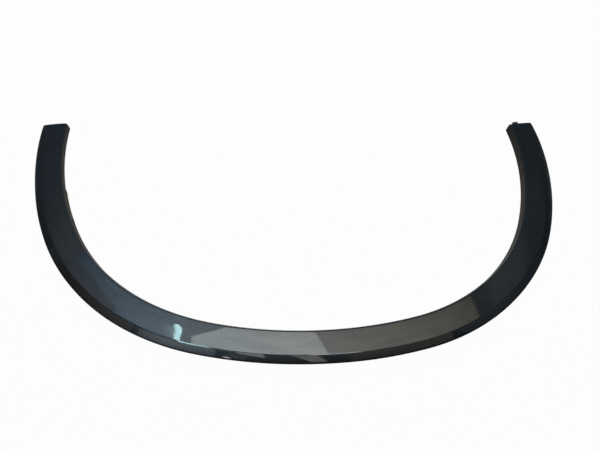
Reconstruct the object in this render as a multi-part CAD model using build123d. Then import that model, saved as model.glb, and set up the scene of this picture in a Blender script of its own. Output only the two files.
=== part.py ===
from build123d import *
import os
from math import cos, degrees, radians, sin, tan

# Wheel arch trim: a one-piece plastic moulding that frames the edge of a car's wheel opening.
# It lies face up as on a bench: +Z is the painted outboard side, the crown of the arch points to -Y,
# and the two legs run to +Y. It rests on the foot of the flange that turns into the wheel opening.
# Lengths are in millimetres and angles in degrees.

# Arch line: the lip where the painted face turns into the opening, five arcs that meet smoothly
CROWN_RADIUS = 630.0
CROWN_SWEEP = 26.0
LEFT_SHOULDER_RADIUS = 316.0
LEFT_SHOULDER_SWEEP = 49.0
LEFT_LEG_RADIUS = 500.0
LEFT_LEG_SWEEP = 26.1
RIGHT_SHOULDER_RADIUS = 280.0
RIGHT_SHOULDER_SWEEP = 52.0
RIGHT_LEG_RADIUS = 420.0
RIGHT_LEG_SWEEP = 29.2

# Section across the arch, from the flange's foot over the face to the outer rim
WALL = 2.8
FLANGE_DEPTH = 14.5
FLANGE_LEAN = 1.5
FACE_WIDTH = 33.0
FACE_DROP = 1.6
FACE_BULGE = 0.5
BEVEL_WIDTH = 10.2
BEVEL_DROP = 3.8
RIM_HEIGHT = 2.0
LAND_WIDTH = 3.0
LIP_RADIUS = 3.0
CREASE_RADIUS = 2.0
RIM_RADIUS = 0.8

# Left leg: a shallower flange from the tip to the screw ear, and a rounded corner at the tip
LEFT_FLANGE_DEPTH = 10.5
LEFT_FLANGE_LENGTH = 149.0
EAR_RAMP = 6.0
LEFT_CORNER_RADIUS = 5.0
EAR_HOLE_DIAMETER = 5.5
EAR_HOLE_FROM_TIP = 214.0
EAR_HOLE_HEIGHT = 5.5

# Right leg: a slanted end cut with a locating tab, and a trimmed corner at the flange's foot
RIGHT_END_SLANT = 5.0
FOOT_TRIM = 2.0
TAB_WIDTH = 10.0
TAB_LENGTH = 7.5
TAB_THICKNESS = 2.5
TAB_FROM_LIP = 10.7

# Back of the moulding: gusset ribs at even steps, every second one with a blade for a spring clip
RIB_COUNT = 17
RIB_END_MARGIN = 45.0
RIB_THICKNESS = 1.8
RIB_REACH = 14.0
RIB_FOOT_HEIGHT = 5.5
BLADE_FROM_LIP = 17.0
BLADE_LENGTH = 14.0
BLADE_THICKNESS = 2.2
BLADE_FOOT_HEIGHT = 2.5
BLADE_CHAMFER = 2.0

# How far a cutting tool stands out past the face that it cuts
OVERCUT = 2.0

UP = Vector(0, 0, 1)
RIM_REACH = FACE_WIDTH + BEVEL_WIDTH
CREASE_HEIGHT = FLANGE_DEPTH - FACE_DROP
RIM_FOOT_HEIGHT = CREASE_HEIGHT - BEVEL_DROP - RIM_HEIGHT
LEFT_FOOT_HEIGHT = FLANGE_DEPTH - LEFT_FLANGE_DEPTH


def arc_into(following: Edge, radius: float, sweep: float) -> Edge:
    """The arc that runs smoothly into the start of another."""
    backward = JernArc(following @ 0, -(following % 0), radius, -sweep)
    return JernArc(backward @ 1, -(backward % 1), radius, sweep)


def arch_arcs() -> list:
    """The lip line's arcs at the level of the flange's foot, from the left tip to the right tip."""
    crown = CenterArc((0, CROWN_RADIUS), CROWN_RADIUS, 270 - CROWN_SWEEP / 2, CROWN_SWEEP)
    right_shoulder = JernArc(crown @ 1, crown % 1, RIGHT_SHOULDER_RADIUS, RIGHT_SHOULDER_SWEEP)
    right_leg = JernArc(right_shoulder @ 1, right_shoulder % 1, RIGHT_LEG_RADIUS, RIGHT_LEG_SWEEP)
    left_shoulder = arc_into(crown, LEFT_SHOULDER_RADIUS, LEFT_SHOULDER_SWEEP)
    left_leg = arc_into(left_shoulder, LEFT_LEG_RADIUS, LEFT_LEG_SWEEP)
    return [left_leg, left_shoulder, crown, right_shoulder, right_leg]


def section() -> Sketch:
    """The moulding's cross section: X runs outward from the lip and Y up from the flange's foot."""
    lip = Vector(0, FLANGE_DEPTH)
    crease = Vector(FACE_WIDTH, CREASE_HEIGHT)
    rim_top = Vector(RIM_REACH, CREASE_HEIGHT - BEVEL_DROP)
    face = SagittaArc(lip, crease, FACE_BULGE)
    under_lip = (flange_inner(FLANGE_DEPTH - WALL) + WALL, FLANGE_DEPTH - WALL)
    rest = Polyline(
        crease,
        rim_top,
        (RIM_REACH, RIM_FOOT_HEIGHT),
        (RIM_REACH - LAND_WIDTH, RIM_FOOT_HEIGHT),
        (FACE_WIDTH, CREASE_HEIGHT - WALL),
        under_lip,
        (flange_inner(0) + WALL, 0),
        (flange_inner(0), 0),
        lip,
    )
    outline = make_face(Curve() + [face, rest])
    for corner, radius in ((lip, LIP_RADIUS), (crease, CREASE_RADIUS), (rim_top, RIM_RADIUS)):
        outline = fillet(outline.vertices().sort_by_distance(corner)[0], radius)
    return outline


def flange_inner(height: float) -> float:
    """How far outward of the lip the flange's visible side lies at a height above its foot."""
    return FLANGE_LEAN * (height / FLANGE_DEPTH - 1)


def flange_middle(height: float) -> float:
    """How far outward of the lip the middle of the flange's wall lies at a height above its foot."""
    return flange_inner(height) + WALL / 2


def face_middle(reach: float) -> float:
    """The height of the middle of the face's wall at a distance outward of the lip."""
    return FLANGE_DEPTH - FACE_DROP * reach / FACE_WIDTH - WALL / 2


def web_corner(foot: float) -> list:
    """A web's edge inside the wall: up the flange from a height, and round the lip to the face."""
    shoulder = FLANGE_DEPTH - LIP_RADIUS
    return [
        (flange_middle(foot), foot),
        (flange_middle(shoulder), shoulder),
        (LIP_RADIUS, face_middle(LIP_RADIUS)),
    ]


def across(origin: Vector, outward: Vector) -> Plane:
    """The plane across the arch at a point of the lip line: X outward, Y up."""
    return Plane(origin=origin, x_dir=outward, z_dir=outward.cross(UP))


def station(arch: Wire, distance: float) -> tuple:
    """The lip line's point, outward direction and direction of travel at a length from the left tip."""
    point = arch.position_at(distance, position_mode=PositionMode.LENGTH)
    travel = arch.tangent_at(distance, position_mode=PositionMode.LENGTH)
    return point, travel.cross(UP), travel


def run(profile: Sketch, arc: Edge, slack: float = 0.0) -> Part:
    """One stretch of the skin: the section turned about an arc's centre, with slack in degrees at its end."""
    outward = (arc @ 0 - arc.arc_center).normalized()
    turn = degrees(arc.length / arc.radius) + slack
    return revolve(across(arc @ 0, outward) * profile, Axis(arc.arc_center, UP), turn)


def shell(arcs: list, end_plane: Plane) -> Part:
    """The skin along all the arcs, with the right end cut on the slant."""
    profile = section()
    slack = degrees((RIM_REACH * tan(radians(RIGHT_END_SLANT)) + OVERCUT) / RIGHT_LEG_RADIUS)
    right_leg = split(run(profile, arcs[-1], slack), bisect_by=end_plane, keep=Keep.TOP)
    return right_leg + [run(profile, arc) for arc in arcs[:-1]]


def end_wall(plane: Plane, foot: float, thickness: float) -> Part:
    """A wall that closes one end of the channel, its thickness signed along the end plane's normal."""
    rim = RIM_REACH - LAND_WIDTH / 2
    outline = web_corner(foot) + [
        (FACE_WIDTH, face_middle(FACE_WIDTH)),
        (rim, RIM_FOOT_HEIGHT + RIM_HEIGHT / 2),
    ]
    return extrude(plane * Polygon(*outline, align=None), thickness, dir=plane.z_dir)


def rib(plane: Plane) -> Part:
    """A gusset that braces the flange against the back of the face."""
    outline = web_corner(RIB_FOOT_HEIGHT) + [(RIB_REACH, face_middle(RIB_REACH))]
    return extrude(plane * Polygon(*outline, align=None), RIB_THICKNESS / 2, both=True)


def clip_seat(point: Vector, outward: Vector, travel: Vector) -> list:
    """A blade along the arch that a spring clip slides onto, and the web that ties it to the flange."""
    top = face_middle(BLADE_FROM_LIP)
    web_outline = web_corner(RIB_FOOT_HEIGHT) + [(BLADE_FROM_LIP, top), (BLADE_FROM_LIP, RIB_FOOT_HEIGHT)]
    web = extrude(across(point, outward) * Polygon(*web_outline, align=None), RIB_THICKNESS / 2, both=True)
    half = BLADE_LENGTH / 2
    blade_outline = Polygon(
        (-half, top),
        (-half, BLADE_FOOT_HEIGHT + BLADE_CHAMFER),
        (-half + BLADE_CHAMFER, BLADE_FOOT_HEIGHT),
        (half - BLADE_CHAMFER, BLADE_FOOT_HEIGHT),
        (half, BLADE_FOOT_HEIGHT + BLADE_CHAMFER),
        (half, top),
        align=None,
    )
    along = Plane(origin=point + outward * BLADE_FROM_LIP, x_dir=travel, z_dir=outward)
    return [web, extrude(along * blade_outline, BLADE_THICKNESS / 2, both=True)]


def back_features(arch: Wire) -> list:
    """The ribs and clip seats on the back, at even steps between the two ends."""
    step = (arch.length - 2 * RIB_END_MARGIN) / (RIB_COUNT - 1)
    pieces = []
    for number in range(RIB_COUNT):
        point, outward, travel = station(arch, RIB_END_MARGIN + number * step)
        if number % 2:
            pieces += clip_seat(point, outward, travel)
        else:
            pieces.append(rib(across(point, outward)))
    return pieces


def tab(end_plane: Plane) -> Part:
    """The locating tab that stands out of the right end, under the painted face."""
    top = face_middle(TAB_FROM_LIP + TAB_WIDTH) - WALL / 2
    low = top - TAB_THICKNESS
    outline = Polygon(
        (TAB_FROM_LIP, low),
        (TAB_FROM_LIP + TAB_WIDTH, low),
        (TAB_FROM_LIP + TAB_WIDTH, top),
        (TAB_FROM_LIP, top),
        align=None,
    )
    root = end_plane.offset(WALL / 2)
    return extrude(root * outline, -WALL / 2 - TAB_LENGTH)


def flange_step(arch: Wire) -> Part:
    """The material left out below the left leg's shallower flange, with a ramp down to the ear."""
    tip, _, _ = station(arch, 0)
    edge, _, _ = station(arch, LEFT_FLANGE_LENGTH)
    chord = tip - edge
    reach = chord.length + OVERCUT
    plane = across(edge, chord.normalized())
    outline = Polygon(
        (0, -OVERCUT),
        (0, 0),
        (EAR_RAMP, LEFT_FOOT_HEIGHT),
        (reach, LEFT_FOOT_HEIGHT),
        (reach, -OVERCUT),
        align=None,
    )
    return extrude(plane * outline, BLADE_FROM_LIP - BLADE_THICKNESS, both=True)


def ear_hole(arch: Wire) -> Part:
    """The screw hole through the flange's ear, square to its leaning wall."""
    point, outward, _ = station(arch, EAR_HOLE_FROM_TIP)
    centre = point + outward * flange_middle(EAR_HOLE_HEIGHT) + UP * EAR_HOLE_HEIGHT
    inward = UP * FLANGE_LEAN - outward * FLANGE_DEPTH
    bore = Plane(origin=centre, z_dir=inward) * Circle(EAR_HOLE_DIAMETER / 2)
    return extrude(bore, WALL + OVERCUT, both=True)


def left_corner(arch: Wire) -> Part:
    """What is cut off at the left tip to round its corner beside the opening."""
    tip, outward, travel = station(arch, 0)
    slope = (outward * FLANGE_LEAN + UP * FLANGE_DEPTH).normalized()
    plane = Plane(origin=tip + outward * flange_inner(0), x_dir=travel, z_dir=slope)
    side = LEFT_CORNER_RADIUS + OVERCUT
    corner = Pos(side / 2 - OVERCUT, -side / 2 + OVERCUT) * Rectangle(side, side)
    rounding = Pos(LEFT_CORNER_RADIUS, -LEFT_CORNER_RADIUS) * Circle(LEFT_CORNER_RADIUS)
    return extrude(plane * (corner - rounding), 2 * FLANGE_DEPTH, both=True)


def foot_corner(end_plane: Plane) -> Part:
    """What is cut off at the right tip to trim the flange's foot corner."""
    plane = across(end_plane.origin, end_plane.z_dir)
    outline = Polygon(
        (-OVERCUT, -OVERCUT),
        (FOOT_TRIM + OVERCUT, -OVERCUT),
        (-OVERCUT, FOOT_TRIM + OVERCUT),
        align=None,
    )
    return extrude(plane * outline, TAB_FROM_LIP, both=True)


def arch_trim() -> Part:
    """The whole moulding, stood on the middle of its base."""
    arcs = arch_arcs()
    arch = Wire(arcs)
    tip, outward, _ = station(arch, 0)
    left_end = across(tip, outward)
    tip, outward, travel = station(arch, arch.length)
    slant = radians(RIGHT_END_SLANT)
    right_end = across(tip, outward * cos(slant) + travel * sin(slant))
    skin = shell(arcs, right_end)
    walls = [end_wall(left_end, LEFT_FOOT_HEIGHT + WALL / 2, -WALL), end_wall(right_end, WALL / 2, WALL)]
    body = skin + walls + back_features(arch) + [tab(right_end)]
    body = body - [flange_step(arch), ear_hole(arch), left_corner(arch), foot_corner(right_end)]
    box = body.bounding_box()
    return Pos(-box.center().X, -box.center().Y, -box.min.Z) * body


if __name__ == "__main__":
    os.makedirs("parts", exist_ok=True)
    export_step(arch_trim(), "parts/arch_trim.step")
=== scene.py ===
import logging
import math
from dataclasses import dataclass, field
from enum import Enum, IntEnum

import bmesh
import bpy
from bmesh.types import BMesh, BMFace
from bpy.types import ID, Material, Mesh, Node, NodeSocket, NodeTree, Object
from mathutils import Matrix, Vector, noise


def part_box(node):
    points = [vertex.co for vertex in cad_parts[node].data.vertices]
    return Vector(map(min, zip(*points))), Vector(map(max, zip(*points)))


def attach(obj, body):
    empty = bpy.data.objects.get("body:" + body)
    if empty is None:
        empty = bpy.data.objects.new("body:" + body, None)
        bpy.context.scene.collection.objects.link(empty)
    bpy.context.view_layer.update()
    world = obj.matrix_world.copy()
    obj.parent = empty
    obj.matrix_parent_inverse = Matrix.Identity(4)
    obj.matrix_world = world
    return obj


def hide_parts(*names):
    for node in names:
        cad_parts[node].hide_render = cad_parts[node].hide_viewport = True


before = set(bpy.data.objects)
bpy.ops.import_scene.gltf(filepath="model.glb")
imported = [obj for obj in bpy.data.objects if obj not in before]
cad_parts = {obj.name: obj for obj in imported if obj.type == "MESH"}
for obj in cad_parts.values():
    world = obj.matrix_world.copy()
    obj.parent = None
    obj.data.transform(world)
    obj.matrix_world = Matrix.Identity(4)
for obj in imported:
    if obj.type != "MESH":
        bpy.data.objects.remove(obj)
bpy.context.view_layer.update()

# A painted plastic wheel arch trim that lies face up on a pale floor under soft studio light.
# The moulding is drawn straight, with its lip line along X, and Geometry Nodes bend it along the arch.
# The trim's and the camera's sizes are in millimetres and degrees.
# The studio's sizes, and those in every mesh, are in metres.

logging.basicConfig(level=logging.INFO, format="%(levelname)s %(message)s")
LOG = logging.getLogger("arch_trim")

MM = 0.001
NODE = "arch_trim"
BODY = "root"
WHITE = "#ffffff"

Point = tuple[float, float]
Row = tuple[Point, ...]


class Coat(IntEnum):
    """The two surfaces of the moulding, by material slot."""

    PAINT = 0
    PLASTIC = 1


class End(Enum):
    """The two tips of the arch."""

    LEFT = "left"
    RIGHT = "right"


def linear(code: str) -> tuple[float, float, float, float]:
    """Turns an sRGB hex colour to linear light.

    Args:
        code: The colour as #rrggbb.

    Returns:
        Red, green, blue and an alpha of 1.
    """
    channels = [int(code[i : i + 2], 16) / 255 for i in (1, 3, 5)]
    red, green, blue = (c / 12.92 if c <= 0.04045 else ((c + 0.055) / 1.055) ** 2.4 for c in channels)
    return red, green, blue, 1.0


def feed(tree: NodeTree, node: Node, inputs: dict) -> None:
    """Sets or links a node's inputs.

    Args:
        tree: The node's tree.
        node: The node.
        inputs: A value or an output socket for each input, by name or number.
    """
    for key, value in inputs.items():
        if isinstance(value, NodeSocket):
            tree.links.new(value, node.inputs[key])
        else:
            node.inputs[key].default_value = value


def add(tree: NodeTree, kind: str, inputs: dict | None = None, **settings: object) -> Node:
    """Adds one node with its settings and its links.

    Args:
        tree: The tree that gets the node.
        kind: The node's type name.
        inputs: A value or an output socket for each input, by name or number.
        settings: The node's own properties.

    Returns:
        The new node.
    """
    node = tree.nodes.new(kind)
    for name, value in settings.items():
        setattr(node, name, value)
    feed(tree, node, inputs or {})
    return node


def seen(tree: NodeTree) -> NodeSocket:
    """Tells the lens and mirrors from matt surfaces.

    Args:
        tree: The tree that asks.

    Returns:
        1 for a ray from the lens, a gloss or a glass, and 0 for any other.
    """
    rays = add(tree, "ShaderNodeLightPath")
    names = ("Is Camera Ray", "Is Glossy Ray", "Is Transmission Ray")
    lens, gloss, glass = (rays.outputs[name] for name in names)
    mirror = add(tree, "ShaderNodeMath", {0: gloss, 1: glass}, operation="MAXIMUM").outputs[0]
    return add(tree, "ShaderNodeMath", {0: lens, 1: mirror}, operation="MAXIMUM").outputs[0]


def cells(size: float) -> float:
    """The texture scale at which one cell of a pattern is a number of millimetres wide."""
    return 1 / (size * MM)


def blank(name: str) -> Material:
    """A new node material."""
    material = bpy.data.materials.new(name)
    material.use_nodes = True
    return material


@dataclass(frozen=True)
class MetallicPaint:
    """Two-stage car paint: a dark basecoat with fine metal flake under a glossy clear coat.

    The clear coat mirrors the studio sharply at a few percent. The flake below it glows softly round
    that mirror image. Flake of some 0.05 mm is too fine to show, so its cells are drawn coarser.
    """

    name: str = "charcoal_metallic_paint"
    shade: str = "#151a1e"
    flake: str = "#222b32"
    flake_mm: float = 0.9
    metallic: float = 0.7
    roughness: float = 0.36
    coat_roughness: float = 0.03
    coat_ior: float = 1.5
    peel_mm: float = 5.0
    peel_depth_mm: float = 0.004

    def material(self) -> Material:
        """Makes the paint.

        Returns:
            The node material.
        """
        paint = blank(self.name)
        tree = paint.node_tree
        place = add(tree, "ShaderNodeTexCoord").outputs["Object"]
        specks = {"Vector": place, "Scale": cells(self.flake_mm)}
        flakes = add(tree, "ShaderNodeTexVoronoi", specks).outputs["Color"]
        glitter = add(tree, "ShaderNodeSeparateColor", {"Color": flakes}).outputs["Red"]
        shades = {0: glitter, 6: linear(self.shade), 7: linear(self.flake)}
        shade = add(tree, "ShaderNodeMix", shades, data_type="RGBA").outputs[2]
        pattern = {"Vector": place, "Scale": cells(self.peel_mm), "Detail": 2.0, "Roughness": 0.5}
        peel = add(tree, "ShaderNodeTexNoise", pattern).outputs["Fac"]
        relief = {"Strength": 1.0, "Distance": self.peel_depth_mm * MM, "Height": peel}
        skin = add(tree, "ShaderNodeBump", relief).outputs["Normal"]
        finish = {
            "Base Color": shade,
            "Metallic": self.metallic,
            "Roughness": self.roughness,
            "Coat Weight": 1.0,
            "Coat Roughness": self.coat_roughness,
            "Coat IOR": self.coat_ior,
            "Coat Normal": skin,
        }
        feed(tree, tree.nodes["Principled BSDF"], finish)
        return paint


@dataclass(frozen=True)
class MouldedPlastic:
    """Polypropylene as it leaves a grained mould: a dull warm grey with a fine pebbled skin.

    Near the lip, upright sides are darkened, partly by mist from the spray gun and partly by painted shade.
    """

    name: str = "moulded_polypropylene"
    shade: str = "#2a2825"
    bloom: str = "#423f3a"
    bloom_mm: float = 14.0
    grain_mm: float = 1.1
    grain_depth_mm: float = 0.06
    smooth: float = 0.5
    dull: float = 0.72
    specular: float = 0.0
    # Darkening near the lip, partly spray mist and partly painted shade on upright sides: its colour, height
    # band and strength.
    mist_and_shade: str = "#14171a"
    mist_and_shade_from_mm: float = 10.0
    mist_and_shade_to_mm: float = 14.0
    mist_and_shade_share: float = 0.9

    def material(self) -> Material:
        """Makes the bare plastic.

        Returns:
            The node material.
        """
        plastic = blank(self.name)
        tree = plastic.node_tree
        place = add(tree, "ShaderNodeTexCoord").outputs["Object"]
        pattern = {"Vector": place, "Scale": cells(self.bloom_mm), "Detail": 5.0, "Roughness": 0.6}
        bloom = add(tree, "ShaderNodeTexNoise", pattern).outputs["Fac"]
        pattern = {"Vector": place, "Scale": cells(self.grain_mm), "Detail": 3.0, "Roughness": 0.65}
        grain = add(tree, "ShaderNodeTexNoise", pattern).outputs["Fac"]
        shades = {0: bloom, 6: linear(self.shade), 7: linear(self.bloom)}
        shade = add(tree, "ShaderNodeMix", shades, data_type="RGBA").outputs[2]
        # Painted shade and spray mist: upright sides turn darker towards the lip, level sides don't.
        height = add(tree, "ShaderNodeSeparateXYZ", {0: place}).outputs["Z"]
        band = {"From Min": self.mist_and_shade_from_mm * MM, "From Max": self.mist_and_shade_to_mm * MM}
        band |= {"Value": height, "To Max": self.mist_and_shade_share}
        mist_and_shade = add(tree, "ShaderNodeMapRange", band).outputs[0]
        normal = add(tree, "ShaderNodeNewGeometry").outputs["Normal"]
        facing = add(tree, "ShaderNodeSeparateXYZ", {0: normal}).outputs["Z"]
        level = add(tree, "ShaderNodeMath", {0: facing}, operation="ABSOLUTE").outputs[0]
        upright = add(tree, "ShaderNodeMath", {0: 1.0, 1: level}, operation="SUBTRACT").outputs[0]
        cover = add(tree, "ShaderNodeMath", {0: mist_and_shade, 1: upright}, operation="MULTIPLY").outputs[0]
        shades = {0: cover, 6: shade, 7: linear(self.mist_and_shade)}
        shaded_and_misted = add(tree, "ShaderNodeMix", shades, data_type="RGBA").outputs[2]
        gloss = {"Value": bloom, "To Min": self.smooth, "To Max": self.dull}
        dull = add(tree, "ShaderNodeMapRange", gloss).outputs[0]
        relief = {"Strength": 1.0, "Distance": self.grain_depth_mm * MM, "Height": grain}
        pebbles = add(tree, "ShaderNodeBump", relief).outputs["Normal"]
        finish = {"Base Color": shaded_and_misted, "Roughness": dull, "Normal": pebbles}
        finish["Specular IOR Level"] = self.specular
        feed(tree, tree.nodes["Principled BSDF"], finish)
        return plastic


@dataclass(frozen=True)
class StudioWhite:
    """The pale floor: matt paper, nearly white to the lens and in mirrors, and mid grey as a light."""

    name: str = "studio_paper"
    shade: str = "#585858"
    glow: float = 0.98

    def material(self) -> Material:
        """Makes the floor's paper.

        Returns:
            The node material.
        """
        paper = blank(self.name)
        tree = paper.node_tree
        tree.nodes.remove(tree.nodes["Principled BSDF"])
        share = add(tree, "ShaderNodeMath", {0: seen(tree), 1: self.glow}, operation="MULTIPLY").outputs[0]
        matt = add(tree, "ShaderNodeBsdfDiffuse", {"Color": linear(self.shade)}).outputs[0]
        bright = add(tree, "ShaderNodeEmission", {"Color": linear(WHITE), "Strength": 1.0}).outputs[0]
        both = add(tree, "ShaderNodeMixShader", {0: share, 1: matt, 2: bright}).outputs[0]
        feed(tree, tree.nodes["Material Output"], {"Surface": both})
        return paper


@dataclass(frozen=True)
class CardGlow:
    """A lit reflector card, whose brightness is stored in its mesh and mottled like cloth."""

    name: str = "reflector_card"
    attribute: str = "glow"
    mottle_mm: float = 160.0
    mottle: float = 0.16
    mottle_low: float = 0.25
    mottle_high: float = 0.75

    def material(self) -> Material:
        """Makes the card's cloth.

        Returns:
            The node material.
        """
        card = blank(self.name)
        tree = card.node_tree
        tree.nodes.remove(tree.nodes["Principled BSDF"])
        glow = add(tree, "ShaderNodeAttribute", attribute_name=self.attribute).outputs["Color"]
        place = add(tree, "ShaderNodeTexCoord").outputs["Object"]
        pattern = {"Vector": place, "Scale": cells(self.mottle_mm), "Detail": 3.0, "Roughness": 0.5}
        cloth = add(tree, "ShaderNodeTexNoise", pattern).outputs["Fac"]
        band = {"From Min": self.mottle_low, "From Max": self.mottle_high}
        gain = {"To Min": 1 - self.mottle, "To Max": 1 + self.mottle}
        level = add(tree, "ShaderNodeMapRange", {"Value": cloth} | band | gain).outputs[0]
        light = add(tree, "ShaderNodeEmission", {"Color": glow, "Strength": level}).outputs[0]
        feed(tree, tree.nodes["Material Output"], {"Surface": light})
        return card


@dataclass(frozen=True)
class Arc:
    """One arc of the lip line."""

    radius: float
    sweep: float

    @property
    def length(self) -> float:
        """The arc's length."""
        return self.radius * math.radians(self.sweep)


@dataclass(frozen=True)
class ArchLine:
    """The lip line: five arcs that meet smoothly, from the left tip over the crown to the right tip."""

    left_leg: Arc = Arc(500.0, 26.1)
    left_shoulder: Arc = Arc(316.0, 49.0)
    crown: Arc = Arc(630.0, 26.0)
    right_shoulder: Arc = Arc(280.0, 52.0)
    right_leg: Arc = Arc(420.0, 29.2)

    def arcs(self) -> dict[str, Arc]:
        """The arcs in order, by name."""
        names = ("left_leg", "left_shoulder", "crown", "right_shoulder", "right_leg")
        return {name: getattr(self, name) for name in names}

    @property
    def length(self) -> float:
        """The whole line's length."""
        return sum(arc.length for arc in self.arcs().values())

    @property
    def start_heading(self) -> float:
        """The direction of travel at the left tip, in degrees from +X."""
        return -self.left_leg.sweep - self.left_shoulder.sweep - self.crown.sweep / 2

    def station(self, distance: float) -> tuple[Point, float]:
        """Follows the line from a left tip at the origin.

        Args:
            distance: The length along the line from the left tip.

        Returns:
            The point there, and the direction of travel in radians.
        """
        x = y = 0.0
        heading = math.radians(self.start_heading)
        rest = distance
        for arc in self.arcs().values():
            turn = min(max(rest, 0.0), arc.length) / arc.radius
            x += arc.radius * (math.sin(heading + turn) - math.sin(heading))
            y += arc.radius * (math.cos(heading) - math.cos(heading + turn))
            heading += turn
            rest -= arc.length
        return (x, y), heading

    def tip(self, reach: float, low: Vector) -> Point:
        """Where the left tip lies, so that the outer rim meets the lowest corner of the box.

        Args:
            reach: How far outward of the lip line the rim lies.
            low: The box's lowest corner, in metres.

        Returns:
            The left tip's X and Y, in metres.
        """
        samples = 4000
        edges = []
        for number in range(samples + 1):
            (x, y), heading = self.station(self.length * number / samples)
            edges.append((x + math.sin(heading) * reach, y - math.cos(heading) * reach))
        return low.x - min(e[0] for e in edges) * MM, low.y - min(e[1] for e in edges) * MM


def clamped(share: float) -> float:
    """A share kept between 0 and 1."""
    return min(max(share, 0.0), 1.0)


def smooth(share: float) -> float:
    """A smooth step from 0 to 1, level beyond both."""
    t = clamped(share)
    return t * t * (3 - 2 * t)


def unit(x: float, y: float) -> Point:
    """A direction of length 1."""
    size = math.hypot(x, y)
    return x / size, y / size


def toward(start: Point, end: Point) -> Point:
    """The direction from one point to another."""
    return unit(end[0] - start[0], end[1] - start[1])


def between(start: Point, end: Point, share: float) -> Point:
    """The point at a share of the way from one point to another."""
    return start[0] + (end[0] - start[0]) * share, start[1] + (end[1] - start[1]) * share


def spread(start: Point, end: Point, steps: int) -> list[Point]:
    """Even points from one point up to, but not including, another."""
    return [between(start, end, i / steps) for i in range(steps)]


def rounded(corner: Point, before: Point, after: Point, radius: float, steps: int) -> list[Point]:
    """Rounds a corner between two directions of travel.

    Args:
        corner: Where the two lines meet.
        before: The direction of travel into the corner.
        after: The direction of travel out of it.
        radius: The rounding's radius.
        steps: How many pieces the rounding has.

    Returns:
        The points of the rounding, from one line to the other.
    """
    cross = before[0] * after[1] - before[1] * after[0]
    turn = math.atan2(cross, before[0] * after[0] + before[1] * after[1])
    back = radius * math.tan(abs(turn) / 2)
    start = (corner[0] - before[0] * back, corner[1] - before[1] * back)
    side = math.copysign(radius, turn)
    centre = (start[0] - before[1] * side, start[1] + before[0] * side)
    arm = (start[0] - centre[0], start[1] - centre[1])
    points = []
    for i in range(steps + 1):
        c, s = math.cos(turn * i / steps), math.sin(turn * i / steps)
        points.append((centre[0] + arm[0] * c - arm[1] * s, centre[1] + arm[0] * s + arm[1] * c))
    return points


def crossing(first: Point, along: Point, second: Point, across: Point) -> Point:
    """Where two lines meet.

    Args:
        first: A point of the first line.
        along: The first line's direction.
        second: A point of the second line.
        across: The second line's direction.

    Returns:
        The point on both lines.
    """
    gap = (second[0] - first[0], second[1] - first[1])
    share = (gap[0] * across[1] - gap[1] * across[0]) / (along[0] * across[1] - along[1] * across[0])
    return first[0] + along[0] * share, first[1] + along[1] * share


def eased(profile: Row, place: float) -> float:
    """Follows a row of places and values, with a smooth step from each to the next.

    Args:
        profile: The places in order, each with its value.
        place: Where the value is asked for.

    Returns:
        The value there.
    """
    for (start, low), (end, high) in zip(profile, profile[1:]):
        if place <= end:
            return low + (high - low) * smooth((place - start) / (end - start))
    return profile[-1][1]


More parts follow.
